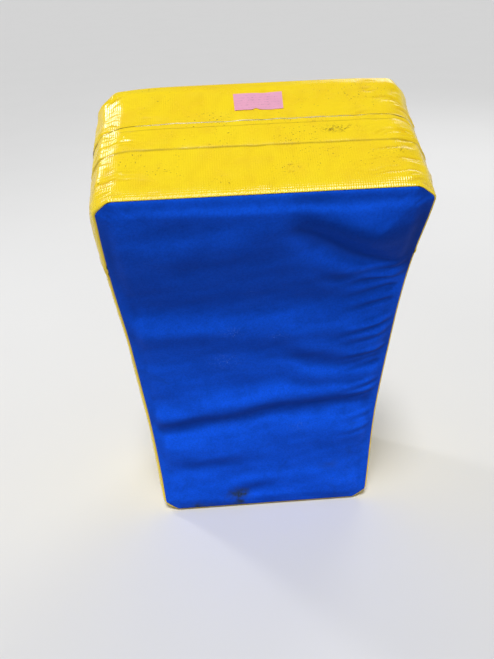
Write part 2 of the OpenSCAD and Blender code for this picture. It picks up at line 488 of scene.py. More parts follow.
# Heights up the strike face of the short folds at its right edge, and how deep each is
SHORT_FOLDS = (
    (0.604, 0.8), (0.578, 1.0), (0.552, 0.8), (0.522, 1.0), (0.470, 1.2), (0.446, 0.8),
    (0.405, 1.1), (0.372, 0.7), (0.322, 1.0), (0.300, 0.7), (0.205, 0.8), (0.238, 0.6),
)


def drape(x, s, line, width, depth):
    """A fold along a line of points: the cloth stands out above the line and falls back below it."""
    total = np.zeros_like(x)
    for (x0, s0), (x1, s1) in zip(line, line[1:]):
        on = smooth_step(x, x0 - 0.03, x0 + 0.03) * (1 - smooth_step(x, x1 - 0.03, x1 + 0.03))
        across = s - s0 - (s1 - s0) * (x - x0) / (x1 - x0) + 0.003 * np.sin(x * 37 + s0 * 90)
        total += on * (bell(across - width, 1.5 * width) - 0.75 * bell(across + width, 1.3 * width))
    return depth * total


def front_folds(x, s, edge):
    """The slack of the strike face: soft level folds, and short ones pulled into its right edge."""
    total = 0.0070 * bell(s - 0.668 - 0.10 * x, 0.066) - 0.0046 * bell(s - 0.520 - 0.05 * x, 0.034)
    total += 0.0048 * bell(s - 0.460 + 0.08 * x, 0.030) + 0.0034 * bell(s - 0.172 - 0.10 * x, 0.042)
    total += 0.0050 * bell(x - 0.045, 0.060) * bell(s - 0.300 - 0.1 * x, 0.022)
    total -= 0.0026 * bell(np.hypot((x + 0.095) * 0.6, s - 0.690), 0.030)
    total += 0.0026 * bell(np.hypot((x + 0.040) * 0.8, s - 0.660), 0.030)
    total += drape(x, s, LARGE_FOLD, 0.034, 0.0160) * smooth_step(edge, 0.0, 0.075)
    for line, width, depth in FOLDS:
        total += drape(x, s, line, width, depth)
    return (total + small_folds(x, s, edge)) * smooth_step(edge, 0.002, 0.026)


def small_folds(x, s, edge):
    """The strike face's short folds, corner gathers and slight unevenness."""
    pull = smooth_step(x + 0.06 * (s - 0.4), 0.105, 0.200)
    total = np.zeros_like(x)
    for s0, size in SHORT_FOLDS:
        across = s - s0 - 0.30 * (x - 0.20)
        total += 0.0027 * size * pull * (bell(across - 0.004, 0.007) - 0.8 * bell(across + 0.006, 0.006))
    points = np.stack([x, s], -1)
    level = np.stack([x * 0.3, s], -1)
    for way in (-1, 1):
        corner = np.hypot(way * x - TOP / 2 + 0.020, s - LENGTH + 0.012)
        around_it = np.arctan2(s - LENGTH - 0.03, way * x - TOP / 2 - 0.03)
        total += 0.0007 * bell(corner, 0.022) * np.sin(around_it * 44 + 1.5 * hills(points, 0.012, 17))
    total += 0.0002 * hills(level, 0.014, 11) + 0.0008 * hills(level, 0.045, 13)
    total += 0.0018 * hills(points, 0.07, 12)
    near = smooth_step(-edge, -0.035, -0.004)
    return total + 0.0003 * near * hills(np.stack([x * 0.5, s], -1), 0.009, 15)


belt_broad, belt_fine = split_field(split_field(belt_puff, 1)[0], 8)


def belt_height(t, d, covered=True):
    """How far the side and end strips stand out from the pad's true shape, on a grid of t by d."""
    index = np.array([STARTS[int(k % 4)] + (k % 1) * (NS if int(k % 4) % 2 else NU) for k in t])
    m_t = cubic(index / STARTS[-1], STARTS[-1], closed=True)
    m_d = cubic((d - FRONT) / DEPTH, ND + 1)
    broad, fine = m_t @ belt_broad @ m_d.T, m_t @ belt_fine @ m_d.T
    xs = outline(t)
    depth = d[None] + 0 * t[:, None]
    x, s = xs[:, :1] + 0 * depth, xs[:, 1:] + 0 * depth
    edge = np.minimum(depth - FRONT, BACK - depth)
    over = smooth_step(s, LENGTH - 0.016, LENGTH - 0.001)
    under = 1 - smooth_step(s, 0.001, 0.016)
    wall = 1 - np.maximum(over, under)
    wall_lift = np.where(x < 0, LEFT_LIFT + 0.0024 * smooth_step(s, 0.605, 0.625), RIGHT_LIFT)
    height = roll(edge, 1.0) * (wall_lift * wall + END_LIFT * over + SEAM_LIFT * under)
    deep = smooth_step(edge, 0.0, 0.02)
    height += wall * deep * (soft_cap(np.clip(broad, -0.003, 1), 0.0025) + 0.5 * soft_cap(fine, 0.002))
    height += over * deep * (0.0016 * bell(depth - 0.089, 0.013) + 0.25 * soft_cap(fine, 0.0015))
    side = np.stack([t[:, None] * 0.35 + 0 * depth, depth], -1)
    gathered = corner_gathers(x, s, depth, side) + end_marks(x, depth) * over
    height += gathered * smooth_step(edge, 0.001, 0.008)
    height += (wall * 0.0007 * hills(side, 0.03, 21) + over * 0.0005 * hills(side, 0.018, 22)) * deep
    height -= over * 0.0005 * bell(depth - FLAP_BASE, 0.0030)
    height += joint_ridges(t) + corner_rounding(t) * smooth_step(edge, 0.003, 0.030)
    if covered:
        height = under_flap(height, over, x, depth)
    return height * (1 - under) + roll(edge, SEAM_LIFT, 0.0045) * under


def corner_rounding(t):
    """Fills the top corners' cut faces out and takes their edges down, so that they look round."""
    total = np.zeros((len(t), 1))
    for corner in (2, 3):
        before, after = SIDE_LENGTHS[corner - 1], SIDE_LENGTHS[corner]
        away = np.where(t < corner, (corner - t) * before, (t - corner) * after)[:, None]
        total += 0.0012 * bell(away, 0.009) - 0.0026 * bell(away - HALF_CUT, 0.009)
    return total


def joint_ridges(t):
    """The seams that join the side strip to the top end's strips: a groove between two ridges."""
    total = np.zeros((len(t), 1))
    for joint in (T_RIGHT, T_LEFT):
        away = (t[:, None] - joint) * SIDE_LENGTHS[1]
        total += 0.0014 * (bell(away - 0.007, 0.005) + bell(away + 0.007, 0.005))
        total -= 0.0024 * bell(away, 0.0020)
    return total


def under_flap(height, over, x, depth):
    """The top end is pressed down behind the flap's edge, and flat under the hook and loop strips."""
    height = height - over * 0.0012 * bell(depth - FLAP_EDGE, 0.014) * (depth > FLAP_BASE)
    below = over * (1 - smooth_step(np.abs(x), HALF_GRIP, HALF_GRIP + 0.012))
    below = below * smooth_step(depth, FLAP_BASE, FLAP_BASE + 0.0025)
    below = below * (1 - smooth_step(depth, FLAP_EDGE - 0.0016, FLAP_EDGE + 0.0004))
    return height * (1 - below) + 0.0001 * below


def corner_gathers(x, s, depth, side):
    """Both top corners are gathered: small ridges run round them, side by side."""
    total = np.zeros_like(x)
    for way, seed in ((1, 31), (-1, 32)):
        from_corner = np.hypot(way * x - TOP / 2 + 0.004, s - LENGTH + 0.004)
        near = bell(from_corner, (0.060 if way == 1 else 0.046) + 0.020 * hills(side, 0.02, seed + 4))
        bend = 2.4 * hills(side, 0.020, seed) + 30 * from_corner
        fine = 1 - 2 * np.abs(np.sin(depth * 480 + bend))
        wide = np.sin(depth * 290 + bend * 0.7)
        patchy = np.clip(0.5 + hills(side, 0.014, seed + 2), 0.05, 1.3)
        total += near * patchy * (0.0008 * fine + 0.0012 * wide) - 0.0012 * bell(from_corner, 0.02)
    return total


def end_marks(x, depth):
    """Dents and short creases of the top end."""
    across = depth - 0.05 * (x - 0.17)
    total = -0.0010 * bell(across + 0.036, 0.0018) * bell(x - 0.172, 0.022)
    total += 0.0006 * bell(across + 0.041, 0.003) * bell(x - 0.172, 0.026)
    ring = bell(np.hypot(x - 0.042, depth + 0.064) - 0.007, 0.0015)
    total -= 0.0008 * ring * smooth_step(-x, -0.046, -0.036)
    total -= 0.0012 * bell(x - 0.012, 0.020) * bell(depth - 0.095, 0.016)
    total -= 0.0010 * bell(x + 0.050, 0.018) * bell(depth - 0.095, 0.016)
    total += 0.0010 * bell(x, 0.006) * bell(depth + 0.092, 0.006)
    return total


def belt_grid(t, d, height):
    """Points and texture places of a stretch of the strips, at given heights."""
    out = outward(t)
    xs = outline(t)
    depth = d[None] + 0 * height
    s = xs[:, 1:] + 0 * height
    x = xs[:, :1] * half_width(s, depth) / half_width(s, 0.0)
    lengths = np.concatenate([[0], np.cumsum(SIDE_LENGTHS * 2)])
    run = np.array([lengths[int(k)] + (k % 1) * SIDE_LENGTHS[int(k) % 4] for k in t])
    uv = np.stack([run[:, None] + 0 * depth, depth], -1)
    ahead, behind = ((depth - FRONT) / LIP, (BACK - depth) / LIP)
    lip = LIP * (behind * np.exp(1 - behind) - ahead * np.exp(1 - ahead))
    return lay(x + out[:, :1] * height, s + out[:, 1:] * height, depth + lip), uv


def belt_steps(t0, t1, pitch=0.0036, corner=0.0016, joints=()):
    """Places along the outline from t0 to t1, closer together round the corners and beside the joints."""
    out = [t0, t1]
    k = t0
    while k < t1:
        length = SIDE_LENGTHS[int(k % 4)]
        near = min(k % 1, 1 - k % 1) * length
        out.append(k)
        k += (corner if near < 0.045 else pitch) / length
    for joint in joints:
        out += [joint + away / SIDE_LENGTHS[1] for away in (-0.004, -0.002, -0.0008, 0.0008, 0.002, 0.004)]
    out = np.array(sorted(k for k in out if t0 <= k <= t1))
    return out[np.concatenate([[True], np.diff(out) > 1e-5])]


def belt_rows(d0, d1, pitch=0.0020):
    """Depths from d0 to d1, set where the cover turns over its seams."""
    turn = ROLL * (1 - np.cos(np.radians(np.arange(0, 90, 9.0))))
    first = d0 + turn if d0 == FRONT else np.array([d0, d0 + 0.0005, d0 + 0.0012])
    last = d1 - turn[::-1] if d1 == BACK else np.array([d1 - 0.0012, d1 - 0.0005, d1])
    count = int(round((last[0] - first[-1]) / pitch)) + 1
    return np.concatenate([first[:-1], np.linspace(first[-1], last[0], count), last[1:]])


def belt_strip(name, t0, t1, d0, d1):
    t, d = belt_steps(t0, t1, joints=(T_LEFT, T_RIGHT + 4)), belt_rows(d0, d1)
    height = belt_height(t, d)
    points, uv = belt_grid(t, d, height)
    ribs = 0.25 + 0.75 * bell(d[None] - FRONT - 0.008, 0.016) + 0 * height
    marks = {"crease": hollow(height, 2, 1500), "ribs": ribs, "grime": grime(t, d, height)}
    return thicken(new_object(name, points, grid_faces(len(t), len(d), flip=True), uv=uv, **marks))


def grime(t, d, height):
    """Where the top end takes painted shadow and dirt: 1 where its painted shadow lines may lie, up to 2
    where it is also scuffed.
    """
    across, along = t[:, None], outline(t)[:, :1]
    on_top = smooth_step(across, T_RIGHT - 0.001, T_RIGHT) * (1 - smooth_step(across, T_LEFT, T_LEFT + 0.001))
    scuffed = bell(along - 0.110, 0.020) * bell(d[None] - 0.001, 0.006)
    scuffed = scuffed + 0.7 * bell(along - 0.182, 0.014) * bell(d[None] + 0.040, 0.005)
    return on_top * (1 + np.clip(1.4 * scuffed, 0, 1)) + 0 * height


# ---------------------------------------------------------------- materials
def tree_of(name, color, roughness, **sockets):
    """A new material with its constants on the shader's own sockets."""
    material = bpy.data.materials.new(name)
    material.use_nodes = True
    nodes, links = material.node_tree.nodes, material.node_tree.links
    shader = nodes["Principled BSDF"]
    shader.inputs["Base Color"].default_value = (*color, 1)
    shader.inputs["Roughness"].default_value = roughness
    for key, value in sockets.items():
        shader.inputs[key.replace("_", " ")].default_value = value
    return material, nodes, links, shader


class Graph:
    """Short ways to add the nodes that the materials share."""

    def __init__(self, name, color, roughness, **sockets):
        self.material, self.nodes, self.links, self.shader = tree_of(name, color, roughness, **sockets)

    def add(self, kind, **values):
        node = self.nodes.new(kind)
        for key, value in values.items():
            setattr(node, key, value)
        return node

    def link(self, a, b):
        self.links.new(a, b)
        return b

    def math(self, operation, a, b=None, c=None):
        node = self.add("ShaderNodeMath", operation=operation)
        for k, value in enumerate((a, b, c)):
            if value is None:
                continue
            if isinstance(value, (int, float)):
                node.inputs[k].default_value = value
            else:
                self.link(value, node.inputs[k])
        return node.outputs[0]

    def noise(self, scale, detail=4.0, roughness=0.55, vector=None, distortion=0.0):
        node = self.add("ShaderNodeTexNoise")
        node.inputs["Scale"].default_value = scale
        node.inputs["Detail"].default_value = detail
        node.inputs["Roughness"].default_value = roughness
        node.inputs["Distortion"].default_value = distortion
        self.link(vector or self.place(), node.inputs["Vector"])
        return node.outputs["Fac"]

    def cells(self, scale):
        node = self.add("ShaderNodeTexVoronoi")
        node.inputs["Scale"].default_value = scale
        self.link(self.place(), node.inputs["Vector"])
        return node.outputs["Distance"]

    def times(self, a, b):
        return self.math("MULTIPLY", a, b)

    def plus(self, a, b):
        return self.math("ADD", a, b)

    def place(self, stretch=None):
        if not hasattr(self, "_object"):
            self._object = self.add("ShaderNodeTexCoord")
        out = self._object.outputs["Object"]
        if stretch:
            node = self.add("ShaderNodeMapping")
            node.inputs["Scale"].default_value = stretch
            self.link(out, node.inputs["Vector"])
            out = node.outputs[0]
        return out

    def uv(self):
        if not hasattr(self, "_uv"):
            self._uv = self.add("ShaderNodeSeparateXYZ")
            node = self.add("ShaderNodeUVMap")
            node.uv_map = "UVMap"
            self.link(node.outputs[0], self._uv.inputs[0])
        return self._uv.outputs[0], self._uv.outputs[1]

    def ramp(self, value, *stops):
        node = self.add("ShaderNodeValToRGB")
        elements = node.color_ramp.elements
        while len(elements) < len(stops):
            elements.new(0.5)
        for element, (at, color) in zip(elements, stops):
            element.position = at
            element.color = (color, color, color, 1) if isinstance(color, (int, float)) else (*color, 1)
        self.link(value, node.inputs[0])
        return node.outputs[0]

    def mix(self, factor, a, b, blend="MIX"):
        node = self.add("ShaderNodeMix", data_type="RGBA", blend_type=blend)
        for socket, value in ((node.inputs[0], factor), (node.inputs[6], a), (node.inputs[7], b)):
            if isinstance(value, (int, float)):
                socket.default_value = value
            elif isinstance(value, tuple):
                socket.default_value = (*value, 1)
            else:
                self.link(value, socket)
        return node.outputs[2]

    def attribute(self, name):
        node = self.add("ShaderNodeAttribute", attribute_name=name)
        return node.outputs["Fac"]

    def bump(self, height, strength, distance, normal=None):
        node = self.add("ShaderNodeBump")
        node.inputs["Strength"].default_value = strength
        node.inputs["Distance"].default_value = distance
        self.link(height, node.inputs["Height"])
        if normal is not None:
            self.link(normal, node.inputs["Normal"])
        return node.outputs[0]

    def finish(self, color=None, roughness=None, normal=None):
        if color is not None:
            self.link(color, self.shader.inputs["Base Color"])
        if roughness is not None:
            self.link(roughness, self.shader.inputs["Roughness"])
        if normal is not None:
            self.link(normal, self.shader.inputs["Normal"])
        return self.material


HEM = 0.009
# Painted shadow lines on the top end, along the flap's free edge, its sewn base and its hem: how far back,
# how wide, how much, and whether the line wanders
SHADOW_LINES = (
    (FLAP_EDGE + 0.0006, 0.0019, 1.0, False),
    (FLAP_BASE, 0.0026, 0.42, True),
    (FLAP_EDGE - HEM, 0.0009, 0.40, False),
)


def coated_yellow(name, tint=(0.95, 0.72, 0.012), gloss=0.27):
    """Glossy coated cloth: the ribs of its mesh show through, with painted shade in its creases and painted
    shadow lines along the flap, and small dirt marks and scuffs.
    """
    g = Graph(name, tint, gloss, Specular_IOR_Level=0.5)
    across, along = g.uv()
    ribs = g.math("SINE", g.times(across, 2 * math.pi / 0.0031))
    threads = g.math("SINE", g.times(along, 2 * math.pi / 0.0031))
    broad = g.noise(7, 3)
    cloud = g.noise(24, 5, 0.6)
    color = g.mix(g.ramp(broad, (0.35, 0.0), (0.7, 1.0)), tint, (0.93, 0.67, 0.010))
    color = g.mix(g.ramp(cloud, (0.45, 0.0), (0.8, 0.55)), color, (0.84, 0.53, 0.008))
    # Painted shade: darker in the cover's hollows
    color = g.mix(g.times(g.attribute("crease"), 0.45), color, (0.62, 0.36, 0.006))
    specks = g.noise(420, 1, 0.4)
    where = g.ramp(g.noise(16, 3), (0.48, 0.0), (0.62, 1.0))
    marks = g.times(g.ramp(specks, (0.67, 0.0), (0.74, 1.0)), where)
    color = g.mix(g.times(marks, 0.85), color, (0.20, 0.13, 0.02))
    grime = g.attribute("grime")
    # Painted shadow: dark lines along the flap's free edge, its sewn base and its hem
    lines = None
    wander = g.times(g.math("SUBTRACT", g.noise(9, 3), 0.5), 0.006)
    for place, width, amount, strays in SHADOW_LINES:
        away = g.math("SUBTRACT", g.plus(along, wander) if strays else along, place)
        away = g.math("ABSOLUTE", away)
        line = g.times(g.ramp(g.math("DIVIDE", away, width), (0.3, 1.0), (1.0, 0.0)), amount)
        lines = line if lines is None else g.math("MAXIMUM", lines, line)
    patchy = g.ramp(g.noise(45, 4, 0.6), (0.32, 0.55), (0.58, 1.0))
    lines = g.times(g.times(lines, patchy), g.math("MINIMUM", grime, 1.0))
    color = g.mix(lines, color, (0.13, 0.070, 0.008))
    scuffs = g.noise(75, 3, 0.6, None, 1.6)
    thin = g.ramp(scuffs, (0.460, 0.0), (0.5, 1.0), (0.540, 0.0))
    thin = g.times(thin, g.math("MAXIMUM", g.math("SUBTRACT", grime, 1.0), 0.0))
    color = g.mix(thin, color, (0.12, 0.065, 0.010))
    rough = g.plus(g.times(cloud, 0.22), gloss - 0.12)
    weave = g.times(g.plus(ribs, g.times(threads, 0.35)), g.attribute("ribs"))
    normal = g.bump(weave, 0.30, 0.0006)
    normal = g.bump(g.noise(55, 5, 0.6), 0.25, 0.0022, normal)
    normal = g.bump(g.noise(900, 2), 0.08, 0.0003, normal)
    return g.finish(color, rough, normal)


def matte_blue(name, tint=(0.0038, 0.071, 0.61)):
    """Soft blue canvas with a fine weave, faint stains and pale scratches, with painted light that makes it
    lighter towards its foot, painted shade in its hollows, and the strike face's painted shading.
    """
    g = Graph(name, tint, 0.6, Specular_IOR_Level=0.03)
    across, along = g.uv()
    warp = g.math("SINE", g.times(across, 2 * math.pi / 0.0011))
    weft = g.math("SINE", g.times(along, 2 * math.pi / 0.0011))
    broad = g.noise(5, 3)
    cloud = g.noise(30, 6, 0.65)
    # Painted light: the blue is lighter low down on the pad and darker high up, with a little noise
    place = g.add("ShaderNodeSeparateXYZ")
    g.link(g.place(), place.inputs[0])
    height = g.plus(place.outputs[2], g.times(broad, 0.18))
    color = g.mix(g.ramp(height, (0.22, 0.0), (0.62, 1.0)), tuple(c * 1.25 for c in tint), tint)
    # Painted light and shade: a shaded and a lit copy of the blue, mixed by the strike face's painted shading
    shaded = g.mix(1.0, color, (0.52, 0.50, 0.50), "MULTIPLY")
    lit = g.mix(1.0, color, (1.30, 1.34, 1.30), "MULTIPLY")
    color = g.mix(g.ramp(g.attribute("fade"), (0.0, 0.0), (1.0, 1.0)), shaded, lit)
    color = g.mix(g.ramp(cloud, (0.45, 0.0), (0.85, 0.45)), color, (0.0015, 0.038, 0.33))
    grain = g.mix(1.0, color, (0.62, 0.62, 0.66), "MULTIPLY")
    color = g.mix(g.ramp(g.noise(300, 5, 0.75), (0.36, 0.55), (0.58, 0.0)), color, grain)
    # Painted shade: darker in the cover's hollows
    color = g.mix(g.times(g.attribute("crease"), 0.35), color, (0.001, 0.020, 0.16))
    worn = g.ramp(g.noise(90, 3), (0.35, 0.45), (0.6, 1.0))
    stain = g.times(g.ramp(g.noise(11, 4, 0.6, None, 0.6), (0.64, 0.0), (0.74, 0.45)), worn)
    color = g.mix(stain, color, (0.006, 0.040, 0.20))
    color = g.mix(g.times(g.attribute("grime"), worn), color, (0.022, 0.040, 0.060))
    scratch = g.noise(34, 2, 0.5, g.place((1, 1, 5)), 1.5)
    thin = g.ramp(scratch, (0.497, 0.0), (0.5, 1.0), (0.503, 0.0))
    thin = g.times(thin, g.ramp(g.noise(9, 2), (0.60, 0.0), (0.66, 0.35)))
    nicks = g.ramp(g.noise(150, 2, 0.5, g.place((1, 1, 0.6)), 0.8), (0.485, 0.0), (0.5, 1.0), (0.515, 0.0))
    thin = g.math("MAXIMUM", thin, g.times(nicks, g.times(g.attribute("wear"), 0.8)))
    color = g.mix(thin, color, (0.10, 0.24, 0.72))
    rough = g.plus(g.times(cloud, 0.22), 0.46)
    normal = g.bump(g.plus(warp, weft), 0.08, 0.0003)
    normal = g.bump(g.noise(70, 5, 0.6), 0.16, 0.0014, normal)
    normal = g.bump(g.noise(700, 3), 0.08, 0.0004, normal)
    return g.finish(color, rough, normal)


def woven(name, tint, dark, pitch=0.0016, roughness=0.8):
    """Webbing or tough cloth: a twill in two shades."""
    g = Graph(name, tint, roughness, Specular_IOR_Level=0.3, Sheen_Weight=0.15)
    across, along = g.uv()
    row = g.times(along, 2 * math.pi / pitch)
    column = g.times(across, 2 * math.pi / pitch)
    wave = g.math("SINE", column)
    slant = g.math("SINE", g.plus(row, g.times(g.math("SIGN", wave), 1.6)))
    twill = g.times(slant, g.math("ABSOLUTE", wave))
    color = g.mix(g.ramp(twill, (0.0, 0.0), (0.9, 1.0)), dark, tint)
    dusty = tuple(c * 1.8 + 0.01 for c in tint)
    color = g.mix(g.ramp(g.noise(40, 4), (0.4, 0.0), (0.8, 0.4)), color, dusty)
    normal = g.bump(twill, 0.55, 0.0006)
    normal = g.bump(g.noise(600, 3), 0.15, 0.0004, normal)
    return g.finish(color, g.plus(g.times(g.noise(120, 3), 0.2), roughness - 0.1), normal)


def foam_material(name, tint):
    """Foam with small cells."""
    g = Graph(name, tint, 0.9, Specular_IOR_Level=0.2)
    cells = g.cells(420)
    color = g.mix(g.ramp(cells, (0.1, 0.0), (0.6, 1.0)), tuple(c * 0.72 for c in tint), tint)
    color = g.mix(g.ramp(g.noise(12, 4), (0.4, 0.0), (0.8, 0.3)), color, tuple(c * 0.85 for c in tint))
    return g.finish(color, None, g.bump(cells, 0.5, 0.0012))


def grip_material(name, tint, hooked):
    """Hook tape, or the softer and finer loop tape."""
    g = Graph(name, tint, 0.85, Specular_IOR_Level=0.3, Sheen_Weight=0.0 if hooked else 0.35)
    cells = g.cells(700 if hooked else 1100)
    tips, dust = tuple(c * 2.2 + 0.01 for c in tint), tuple(c * 2.5 + 0.02 for c in tint)
    color = g.mix(g.ramp(cells, (0.1, 0.0), (0.5, 1.0)), tips, tint)
    color = g.mix(g.ramp(g.noise(60, 4), (0.45, 0.0), (0.8, 0.4)), color, dust)
    normal = g.bump(g.noise(300, 3), 0.4, 0.0008, g.bump(cells, 0.8, 0.0010))
    return g.finish(color, None, normal)


def label_material(name):
    """Pink label cloth with faint even lines in place of its print."""
    g = Graph(name, (0.80, 0.36, 0.52), 0.55)
    across, along = g.uv()
    color = g.mix(g.ramp(g.noise(60, 4), (0.4, 0.0), (0.8, 0.5)), (0.80, 0.37, 0.53), (0.68, 0.30, 0.44))
    rows = g.math("FRACT", g.times(along, 1 / 0.0048))
    line = g.ramp(rows, (0.0, 0.0), (0.30, 0.0), (0.38, 1.0), (0.62, 1.0), (0.70, 0.0))
    worn = g.noise(1, 3, 0.6, g.place((330, 900, 330)))
    ink = g.times(line, g.ramp(worn, (0.52, 0.0), (0.58, 0.55)))
    inside = g.ramp(g.math("ABSOLUTE", across), (0.027, 1.0), (0.029, 0.0))
    within = g.ramp(g.math("ABSOLUTE", along), (0.011, 1.0), (0.013, 0.0))
    color = g.mix(g.times(ink, g.times(inside, within)), color, (0.30, 0.15, 0.22))
    normal = g.bump(g.noise(500, 3), 0.2, 0.0003)
    return g.finish(color, None, normal)


def thread_material(name, tint):
    g = Graph(name, tint, 0.6)
    color = g.mix(g.ramp(g.noise(300, 2), (0.35, 0.0), (0.7, 1.0)), tuple(c * 0.7 for c in tint), tint)
    return g.finish(color, None, g.bump(g.noise(2500, 2), 0.4, 0.0003))


YELLOW = coated_yellow("yellow_cover")
BLUE = matte_blue("blue_cover")
BLACK_WEBBING = woven("black_webbing", (0.012, 0.012, 0.014), (0.003, 0.003, 0.004))
BLACK_PATCH = woven("black_patch", (0.020, 0.020, 0.023), (0.008, 0.008, 0.009), 0.0009, 0.6)
SOFT_FOAM = foam_material("soft_foam", (0.42, 0.48, 0.56))
FIRM_FOAM = foam_material("firm_foam", (0.72, 0.74, 0.76))
WHITE_THREAD = thread_material("pale_thread", (0.62, 0.62, 0.60))


def dress(obj, material, body="pad"):
    """Gives a piece its material and slot, and the body that it rides on."""
    obj.data.materials.clear()
    obj.data.materials.append(material)
    if body:
        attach(obj, body)
    return obj


# ---------------------------------------------------------------- panels
strike = dress(face_panel("strike_face", True), BLUE)
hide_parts("strike_panel")
rear = dress(face_panel("back_face", False), YELLOW)
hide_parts("back_panel")
sides = dress(belt_strip("side_strip", T_LEFT, T_RIGHT + 4, FRONT, BACK), YELLOW)
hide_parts("side_gusset")
top_front = dress(belt_strip("top_strip_front", T_RIGHT, T_LEFT, FRONT, FLAP_BASE), YELLOW)
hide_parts("top_gusset_front")
top_back = dress(belt_strip("top_strip_back", T_RIGHT, T_LEFT, FLAP_BASE, BACK), YELLOW)
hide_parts("top_gusset_back")


FLAP_THICK = 0.0016
TUCK = 0.0016


def flap_height(t, d):
    """Height of the flap's outer face above the pad's true shape: t by d."""
    q = (d - FLAP_BASE)[None]
    left = FLAP_EDGE - FLAP_BASE - q
    lift = 0.0004 * smooth_step(q, 0.0, 0.014) - 0.0005 * (1 - smooth_step(q, -TUCK, TUCK))
    lift = lift - 0.00022 * bell(left - HEM, 0.0013) - 0.0011 * np.exp(-left / 0.0010)
    return belt_height(t, d, covered=False) + lift


def flap_piece(name, t0, t1, open_ends):
    """A closed stretch of the flap; an open end meets the next stretch without a rim between them."""
    t = belt_steps(t0, t1, 0.0030)
    ends = (0.0005, 0.0012)
    d = FLAP_BASE - TUCK + (FLAP_EDGE - FLAP_BASE + TUCK) * steps(FLAP_EDGE - FLAP_BASE, 0.0015, ends)
    height = flap_height(t, d)
    outer, uv = belt_grid(t, d, height)
    inner = belt_grid(t, d, height - FLAP_THICK)[0]
    n, m = len(t), len(d)
    faces = grid_faces(n, m, flip=True) + [tuple(i + n * m for i in f) for f in grid_faces(n, m)]
    index = np.arange(n * m).reshape(n, m)
    rims = [index[:, 0], index[::-1, -1]]
    rims += [] if open_ends[0] else [index[0, ::-1]]
    rims += [] if open_ends[1] else [index[-1]]
    for rim in rims:
        for a, b in zip(rim, rim[1:]):
            faces.append(tuple(int(i) for i in (a, b, b + n * m, a + n * m)))
    parts = (uv, hollow(height, 2, 900), grime(t, d, height))
    uv, crease, flap_dirt_and_shade = (np.concatenate([part.reshape(n * m, -1)] * 2) for part in parts)
    points = np.concatenate([outer.reshape(-1, 3), inner.reshape(-1, 3)])
    return crisp(new_object(name, points, faces, uv=uv, crease=crease, ribs=crease * 0 + 0.25, grime=flap_dirt_and_shade))


def t_at(x):
    """Where on the top end x lies."""
    return 2.5 - x / SIDE_LENGTHS[2]


# The flap is stiff as far as its hook strip reaches; from there its ends run to where they are sewn
STIFF, BEND_FROM, BEND_TO = HALF_GRIP, 0.206, 0.164
flap = flap_piece("flap_middle", t_at(STIFF), t_at(-STIFF), (True, True))
dress(flap, YELLOW, "flap")
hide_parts("closure_flap")
for side, name in ((1, "right"), (-1, "left")):
    ends = (T_RIGHT, t_at(STIFF), (False, True)) if side > 0 else (t_at(-STIFF), T_LEFT, (True, False))
    piece = dress(flap_piece(f"flap_end_{name}", *ends), YELLOW, None)
    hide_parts(f"flap_corner_{name}")
    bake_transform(piece)


# ---------------------------------------------------------------- label
LABEL_DEPTH, LABEL_X, LABEL_WIDTH, LABEL_HEIGHT = 0.060, 0.006, 0.067, 0.032


def make_label():
    """A label laid on the top end, with a small notch in one long edge and its ends a little raised."""
    u, v = np.linspace(-0.5, 0.5, 41), np.linspace(-0.5, 0.5, 21)
    uu, vv = np.meshgrid(u * LABEL_WIDTH, v * LABEL_HEIGHT, indexing="ij")
    bite = 0.0028 * bell(uu + 0.004, 0.0035)
    vv = np.where(vv < 0, vv + bite * (-vv / LABEL_HEIGHT * 2), vv)
    x = LABEL_X + uu * (1 + 0.02 * vv / LABEL_HEIGHT)
    d = LABEL_DEPTH + vv
    base = np.stack([belt_height(t_at(x[:, j]), d[:, j]).diagonal() for j in range(21)], 1)
    lift = 0.0008 + 0.0003 * hills(np.stack([uu, vv], -1), 0.02, 77) + 0.0012 * np.abs(uu / LABEL_WIDTH) ** 3
    co = lay(x, LENGTH + base + lift, d)
    obj = new_object("care_tag", co, grid_faces(41, 21), uv=np.stack([uu, vv], -1))
    return thicken(obj, 0.0004)


tag = dress(make_label(), label_material("pink_label"))
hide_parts("care_label")


# ---------------------------------------------------------------- foam inside
def foam_block(name, node, d0, d1, material):
    """A sheet of foam from depth d0 to d1, clear of the cover and a little rounded at its edges."""
    inset = 0.007
    u, v = np.linspace(0, 1, 25), np.linspace(0, 1, 41)
    layers = []
    for d in np.linspace(d0, d1, 6):
        x, s = widen(patch(u, v), d)
        pinch = 1 - 0.006 * math.exp(-min(d - d0, d1 - d) / 0.004)
        x = x * (1 - 2 * inset / TOP) * pinch
        s = (s - LENGTH / 2) * (1 - 2 * inset / LENGTH) * pinch + LENGTH / 2
        layers.append(place(x, s, np.full_like(x, d)).reshape(-1, 3))
    rim, sheet = grid_rim(len(u), len(v)), len(u) * len(v)
    starts = [sheet + k * len(rim) for k in range(5)]
    rings = [rim] + [start + np.arange(len(rim)) for start in starts[:4]] + [starts[4] + rim]
    points = [layers[0]] + [layer[rim] for layer in layers[1:-1]] + [layers[-1]]
    faces = grid_faces(len(u), len(v)) + tube_faces(rings, flip=True)
    faces += [tuple(starts[4] + i for i in f) for f in grid_faces(len(u), len(v), flip=True)]
    obj = dress(new_object(name, np.concatenate(points), faces), material)
    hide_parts(node)


foam_block("strike_foam", "face_foam", FRONT + 0.006, FRONT + 0.041, FIRM_FOAM)
foam_block("middle_foam", "core_foam", FRONT + 0.0415, BACK - 0.0415, SOFT_FOAM)
foam_block("rear_foam", "back_foam", BACK - 0.041, BACK - 0.004, FIRM_FOAM)


# ---------------------------------------------------------------- arm straps
# The straps bow round a centre line LOOP_Y behind mid thickness; a sleeve spans SLEEVE_TURN either side
LOOP_Y = BACK + 0.070 - 0.096
MID_R = 0.1024
BAND_R, BAND_TURN = 0.1054, math.radians(75.5) - 0.10
SLEEVE_TURN = math.radians(52)
SLEEVE_HALF = 0.0375
SLEEVE_FULL = 0.0068
ROW = 0.0125


